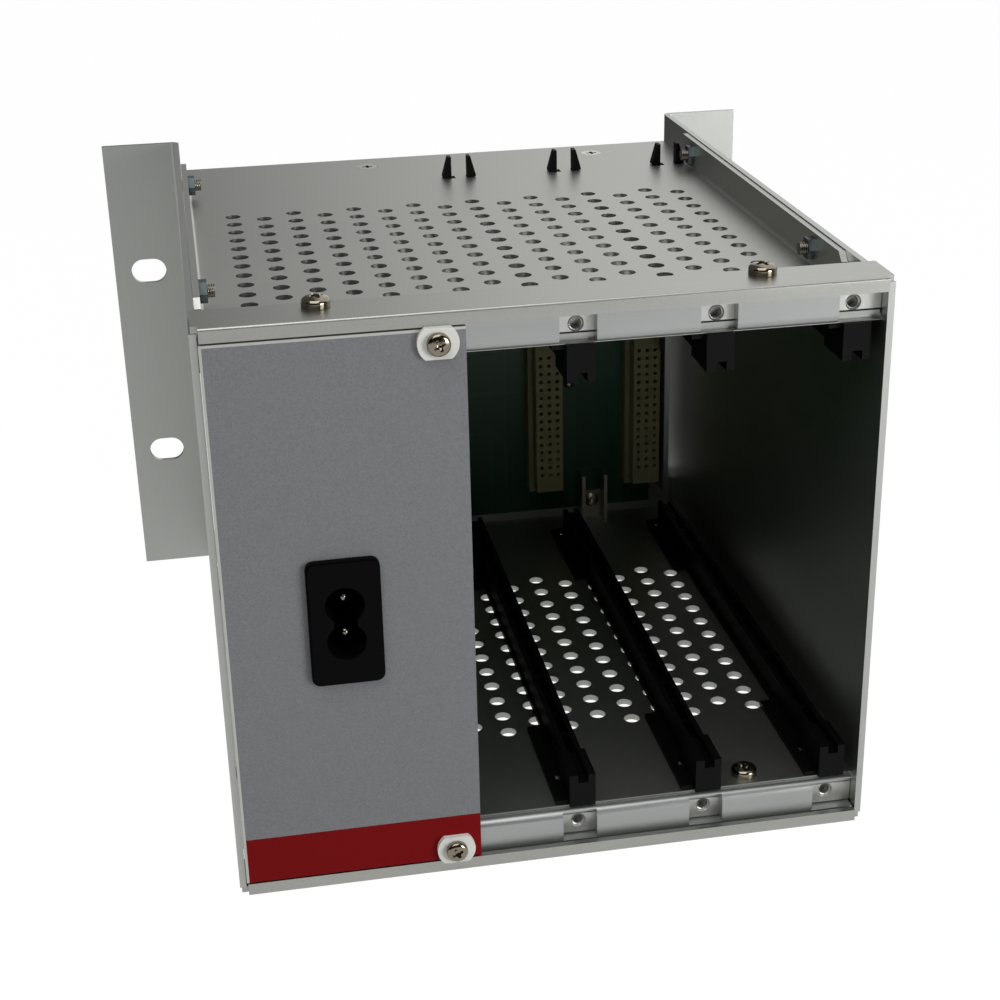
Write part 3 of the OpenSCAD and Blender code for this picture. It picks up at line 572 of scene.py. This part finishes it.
class CAGE_OT_screws(CageOperator, bpy.types.Operator):
    """Dresses every screw and nut"""
    bl_idname = "cage.screws"
    bl_label = "Screws and nuts"

    def execute(self, context):
        plated = bright_metal("plated_steel", self.looks.plated, 0.2)
        for node in ("holder_screws", "bracket_screws", "backplane_screws"):
            soften(dress(node, plated), self.sizes.fine_edge)
        polished = bright_metal("polished_steel", self.looks.polished, 0.15)
        self.pan_heads("cover_screws", self.sizes.tray_head, polished)
        self.pan_heads("floor_screws", self.sizes.tray_head, polished)
        self.pan_heads("panel_screws", self.sizes.panel_head, polished)
        threaded = bright_metal("threaded_steel", self.looks.threads, 0.3, 0)
        soften(dress("side_screws", threaded), self.sizes.fine_edge)
        dull = bright_metal("nut_steel", self.looks.nuts, 0.4)
        soften(dress("side_nuts", dull), self.sizes.fine_edge)
        return {"FINISHED"}

    def pan_heads(self, node, height, metal):
        """Two screws with cross recesses in place of the node's plainer ones."""
        low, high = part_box(node)
        middle = (low + high) / 2
        if node == "panel_screws":
            turn = (Matrix.Rotation(math.radians(90), 3, "X")
                    @ Matrix.Rotation(PANEL_SCREW_TURN, 3, "Z"))
            head = (high.x - low.x) / 2
            seats = [Vector((middle.x, low.y + height, z))
                     for z in (low.z + head, high.z - head)]
            shank, reach = self.sizes.panel_thread / 2, high.y - low.y - height
        else:
            turn = Matrix.Rotation(TRAY_SCREW_TURN, 3, "Z")
            head = (high.y - low.y) / 2
            seats = [Vector((x, middle.y, high.z - height))
                     for x in (low.x + head, high.x - head)]
            shank, reach = self.sizes.tray_thread / 2, high.z - low.z - height
        screw = cross_head_screw(head, height, shank, reach)
        parts = [moved(screw, turn, seat) for seat in seats]
        piece = joined(node.replace("screws", "cross_screws"), parts)
        piece.data.materials.append(metal)
        crisp(piece)
        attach(piece, "root")
        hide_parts(node)


class CAGE_OT_guides(CageOperator, bpy.types.Operator):
    """Dresses the card guides"""
    bl_idname = "cage.guides"
    bl_label = "Card guides"

    def execute(self, context):
        plastic = moulded("guide_plastic", self.looks.guides, 0.5, level=0.12)
        for node in nodes_named("guide_"):
            soften(dress(node, plastic), self.sizes.moulded_edge)
        return {"FINISHED"}


class CAGE_OT_power_panel(CageOperator, bpy.types.Operator):
    """Dresses the power supply's panel and its collars"""
    bl_idname = "cage.power_panel"
    bl_label = "Power panel"

    def execute(self, context):
        band_top = PANEL_LOW.z + self.sizes.band_height
        foil = (PANEL_LOW.x + self.sizes.bare_edge, PANEL_HIGH.z - self.sizes.bare_edge)
        looks = self.looks
        paint = panel_skin("panel_paint", looks.panel, looks.band, looks.bright, foil, band_top)
        soften(dress("power_panel", paint), self.sizes.rail_edge)
        nylon = moulded("collar_nylon", self.looks.nylon, 0.45)
        soften(dress("panel_collars", nylon), self.sizes.moulded_edge)
        return {"FINISHED"}


class CAGE_OT_inlet(CageOperator, bpy.types.Operator):
    """Dresses the appliance inlet, its pins and its leads"""
    bl_idname = "cage.inlet"
    bl_label = "Inlet"

    def execute(self, context):
        black = moulded("inlet_plastic", self.looks.inlet, 0.5, level=0.05)
        soften(dress("inlet_housing", black), self.sizes.moulded_edge)
        self.pins(bright_metal("pin_metal", self.looks.pins, 0.2))
        shade_smooth(dress("inlet_leads", moulded("lead_skin", self.looks.leads, 0.4)))
        return {"FINISHED"}

    def pins(self, metal):
        """Two pins with round tips in place of the node's plainer ones."""
        low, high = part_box("inlet_pins")
        radius = (high.x - low.x) / 2
        tip = [(radius - radius * math.cos(angle), radius * math.sin(angle))
               for angle in map(math.radians, PIN_TIP_ANGLES)]
        profile = tip + [(high.y - low.y, radius)]
        middle = (low.x + high.x) / 2
        places = [Vector((middle, low.y, z)) for z in (low.z + radius, high.z - radius)]
        piece = joined("round_pins", [turned(place, profile, 24) for place in places])
        piece.data.materials.append(metal)
        crisp(piece)
        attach(piece, "root")
        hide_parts("inlet_pins")


class CAGE_OT_supply(CageOperator, bpy.types.Operator):
    """Dresses the parts of the power supply behind its panel"""
    bl_idname = "cage.supply"
    bl_label = "Power supply"

    def execute(self, context):
        looks, sizes = self.looks, self.sizes
        for node, skin, edge in (
                ("board_holders", anodised("bare_metal", looks.rails, 0.4), sizes.rail_edge),
                ("heat_sink", anodised("sink_metal", looks.sleeve, 0.45), sizes.rail_edge),
                ("power_board", board_skin("supply_board", looks.mask), sizes.fine_edge),
                ("transformer", moulded("core_varnish", looks.core, 0.4), sizes.moulded_edge),
                ("capacitors", moulded("sleeve_plastic", looks.sleeve, 0.3), sizes.moulded_edge)):
            soften(dress(node, skin), edge)
        return {"FINISHED"}


class CAGE_OT_backplane(CageOperator, bpy.types.Operator):
    """Dresses the backplane, its sockets, rear rails, clips and angle"""
    bl_idname = "cage.backplane"
    bl_label = "Backplane"

    def execute(self, context):
        mask = board_skin("backplane_mask", self.looks.mask)
        soften(dress("backplane", mask), self.sizes.fine_edge)
        # The sockets' plastic carries painted shade: its colour is set darker than the real beige.
        shaded_beige = moulded("socket_plastic_painted_shade", self.looks.sockets, 0.55, level=0.25)
        for node in nodes_named("socket_") + ["power_plug"]:
            soften(dress(node, shaded_beige), self.sizes.fine_edge)
        steel = bright_metal("bracket_steel", self.looks.plated, 0.38)
        soften(dress("backplane_brackets", steel), self.sizes.fine_edge)
        extrusion = anodised("angle_metal", self.looks.rails, 0.42)
        for node in nodes_named("rear_rail") + ["end_angle"]:
            soften(dress(node, extrusion), self.sizes.rail_edge)
        return {"FINISHED"}


class CAGE_OT_solder_joints(CageOperator, bpy.types.Operator):
    """Adds the sockets' soldered tails behind the backplane"""
    bl_idname = "cage.solder_joints"
    bl_label = "Solder joints"

    pitch: FloatProperty(
        name="Pitch", description="Pitch of the contacts", unit="LENGTH", default=2.54 * MM)
    rows: IntProperty(
        name="Rows", description="Rows of contacts in a socket", default=16, min=1)

    def execute(self, context):
        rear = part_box("backplane")[1].y
        radius, tail = self.sizes.joint_size / 2, self.sizes.tail_length
        profile = [(reach * MM, radius * share) for reach, share in JOINT_RINGS]
        profile.append((tail, radius * TAIL_RADIUS))
        parts = []
        for node in nodes_named("socket_"):
            low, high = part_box(node)
            middle = (Vector(low) + Vector(high)) / 2
            for column in (-1, 0, 1):
                for row in range(self.rows):
                    place = Vector((middle.x + column * self.pitch, rear,
                                    middle.z + (row - (self.rows - 1) / 2) * self.pitch))
                    parts.append(turned(place, profile))
        joints = joined("solder_joints", parts)
        joints.data.materials.append(bright_metal("solder", self.looks.bright, 0.3))
        crisp(joints)
        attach(joints, "root")
        return {"FINISHED"}


# ---------- Stage ----------

def lamp(name, power, size, place, target):
    """A square soft lamp that faces the target."""
    light = bpy.data.lights.new(name, "AREA")
    light.shape = "RECTANGLE"
    light.size, light.size_y = size
    light.energy = power
    holder = bpy.data.objects.new(name, light)
    bpy.context.collection.objects.link(holder)
    holder.location = place
    holder.rotation_mode = "QUATERNION"
    holder.rotation_quaternion = (Vector(target) - Vector(place)).to_track_quat("-Z", "Y")


def seen_share(shader):
    """How much of the floor's own white is seen; the rest of it shows the cage's shadow, and behind
    the cage reflections see the floor's painted shade in place of its white.
    """
    path = shader.add("LightPath")
    camera = shader.wire(path, "Is Camera Ray") * FLOOR_SEEN
    # Reflections see less of the floor's white behind the cage, where its colour is painted shade.
    share = shader.ramp(shader.axis(1) * 2 + 0.5, [(0.68, 0.5), (0.8, 0.03)])
    mirror = (shader.wire(path, "Is Glossy Ray") + shader.wire(path, "Is Transmission Ray")) * share
    return camera + mirror


class CAGE_OT_stage(CageOperator, bpy.types.Operator):
    """Builds the floor, the room, the lamps and the camera"""
    bl_idname = "cage.stage"
    bl_label = "Stage"

    def execute(self, context):
        stage = context.scene.cage_stage
        self.floor()
        self.room(context.scene, stage)
        middle = (LOW + HIGH) / 2
        lamp("Top lamp", stage.top_light, TOP_LAMP_SIZE, middle + TOP_LAMP_OFFSET, middle)
        lamp("Right lamp", stage.right_light, RIGHT_LAMP_SIZE, middle + RIGHT_LAMP_OFFSET, middle)
        self.camera(context.scene, stage)
        return {"FINISHED"}

    def floor(self):
        far = FLOOR_REACH
        mesh = bpy.data.meshes.new("floor")
        corners = [(-far, -far, 0), (far, -far, 0), (far, far, 0), (-far, far, 0)]
        mesh.from_pydata(corners, [], [(0, 1, 2, 3)])
        floor = bpy.data.objects.new("floor", mesh)
        bpy.context.collection.objects.link(floor)
        s = Shader("floor_white")
        # The floor's own colour drops from pale to dark just behind the cage: painted shade that
        # keeps the cage's rear dark, while the camera still sees the floor's white glow.
        paper_shaded_behind = s.ramp(s.axis(1) * 2 + 0.5, [(0.68, 0.65), (0.84, 0.2)])
        matt = s.add("BsdfDiffuse", None, {"Color": paper_shaded_behind})
        glow = s.add("Emission", None, {"Color": (1, 1, 1, 1), "Strength": FLOOR_GLOW})
        both = s.add("MixShader", None, {0: seen_share(s), 1: s.wire(matt), 2: s.wire(glow)})
        s.add("OutputMaterial", None, {"Surface": s.wire(both)})
        mesh.materials.append(s.material)

    def room(self, scene, stage):
        """White backdrop behind the cage, soft light above it and a dim room in front."""
        scene.world = bpy.data.worlds.new("room")
        s = Shader("room", scene.world)
        way = s.add("SeparateXYZ", None, {0: s.wire(s.add("TexCoord"), "Generated")})
        behind = s.ramp(s.wire(way, "Y") + s.wire(way, "Z") * 0.5, [(0.0, 0.0), (0.35, 1.0)])
        path = s.add("LightPath")
        camera = s.wire(path, "Is Camera Ray")
        side = s.ramp(s.wire(way, "X") + 0.5, [(0.46, 0.08), (0.72, 1.0)])
        glossy, clear = s.wire(path, "Is Glossy Ray"), s.wire(path, "Is Transmission Ray")
        mirror = (glossy + clear) * behind * side
        seen = (camera + mirror).smaller(1.0)
        level = behind * (stage.room - stage.front) + stage.front
        soft = s.add("Background", None, {"Color": (1, 1, 1, 1), "Strength": level})
        white = s.add("Background", None, {"Color": (1, 1, 1, 1), "Strength": 1.0})
        both = s.add("MixShader", None, {0: seen, 1: s.wire(soft), 2: s.wire(white)})
        s.add("OutputWorld", None, {"Surface": s.wire(both)})

    def camera(self, scene, stage):
        forward = Vector((math.sin(stage.yaw) * math.cos(stage.pitch),
                          math.cos(stage.yaw) * math.cos(stage.pitch), -math.sin(stage.pitch)))
        level = Vector((math.cos(stage.yaw), -math.sin(stage.yaw), 0))
        upright = level.cross(forward)
        right = level * math.cos(stage.roll) + upright * math.sin(stage.roll)
        up = upright * math.cos(stage.roll) - level * math.sin(stage.roll)
        data = bpy.data.cameras.new("camera")
        data.lens = stage.lens
        data.sensor_width = SENSOR_WIDTH
        data.clip_start, data.clip_end = NEAR, FAR
        camera = bpy.data.objects.new("camera", data)
        bpy.context.collection.objects.link(camera)
        turn = Matrix((right, up, -forward)).transposed().to_4x4()
        camera.matrix_world = Matrix.Translation(Vector(stage.eye)) @ turn
        scene.camera = camera
        scene.view_settings.view_transform = "Standard"


OPERATORS = (
    CAGE_OT_side_plates, CAGE_OT_trays, CAGE_OT_rails, CAGE_OT_screws, CAGE_OT_guides,
    CAGE_OT_power_panel, CAGE_OT_inlet, CAGE_OT_supply, CAGE_OT_backplane, CAGE_OT_solder_joints,
    CAGE_OT_stage,
)


class CAGE_PT_sidebar(bpy.types.Panel):
    """Lists the pieces and their settings"""
    bl_label = "Card cage"
    bl_idname = "CAGE_PT_sidebar"
    bl_space_type = "VIEW_3D"
    bl_region_type = "UI"
    bl_category = "Card cage"

    def draw(self, context):
        for operator in OPERATORS:
            self.layout.operator(operator.bl_idname)
        for name in GROUPS:
            group = getattr(context.scene, name)
            box = self.layout.box()
            for key in group.__annotations__:
                box.prop(group, key)


GROUPS = {"cage_colours": CageColours, "cage_sizes": CageSizes, "cage_stage": CageStage}


def register():
    for group in GROUPS.values():
        bpy.utils.register_class(group)
    for name, group in GROUPS.items():
        setattr(bpy.types.Scene, name, PointerProperty(type=group))
    for operator in OPERATORS:
        bpy.utils.register_class(operator)
    bpy.utils.register_class(CAGE_PT_sidebar)


def unregister():
    bpy.utils.unregister_class(CAGE_PT_sidebar)
    for operator in reversed(OPERATORS):
        bpy.utils.unregister_class(operator)
    for name, group in GROUPS.items():
        delattr(bpy.types.Scene, name)
        bpy.utils.unregister_class(group)


def main():
    register()
    for operator in OPERATORS:
        family, name = operator.bl_idname.split(".")
        getattr(getattr(bpy.ops, family), name)()
    bpy.context.view_layer.update()


if __name__ == "__main__":
    main()
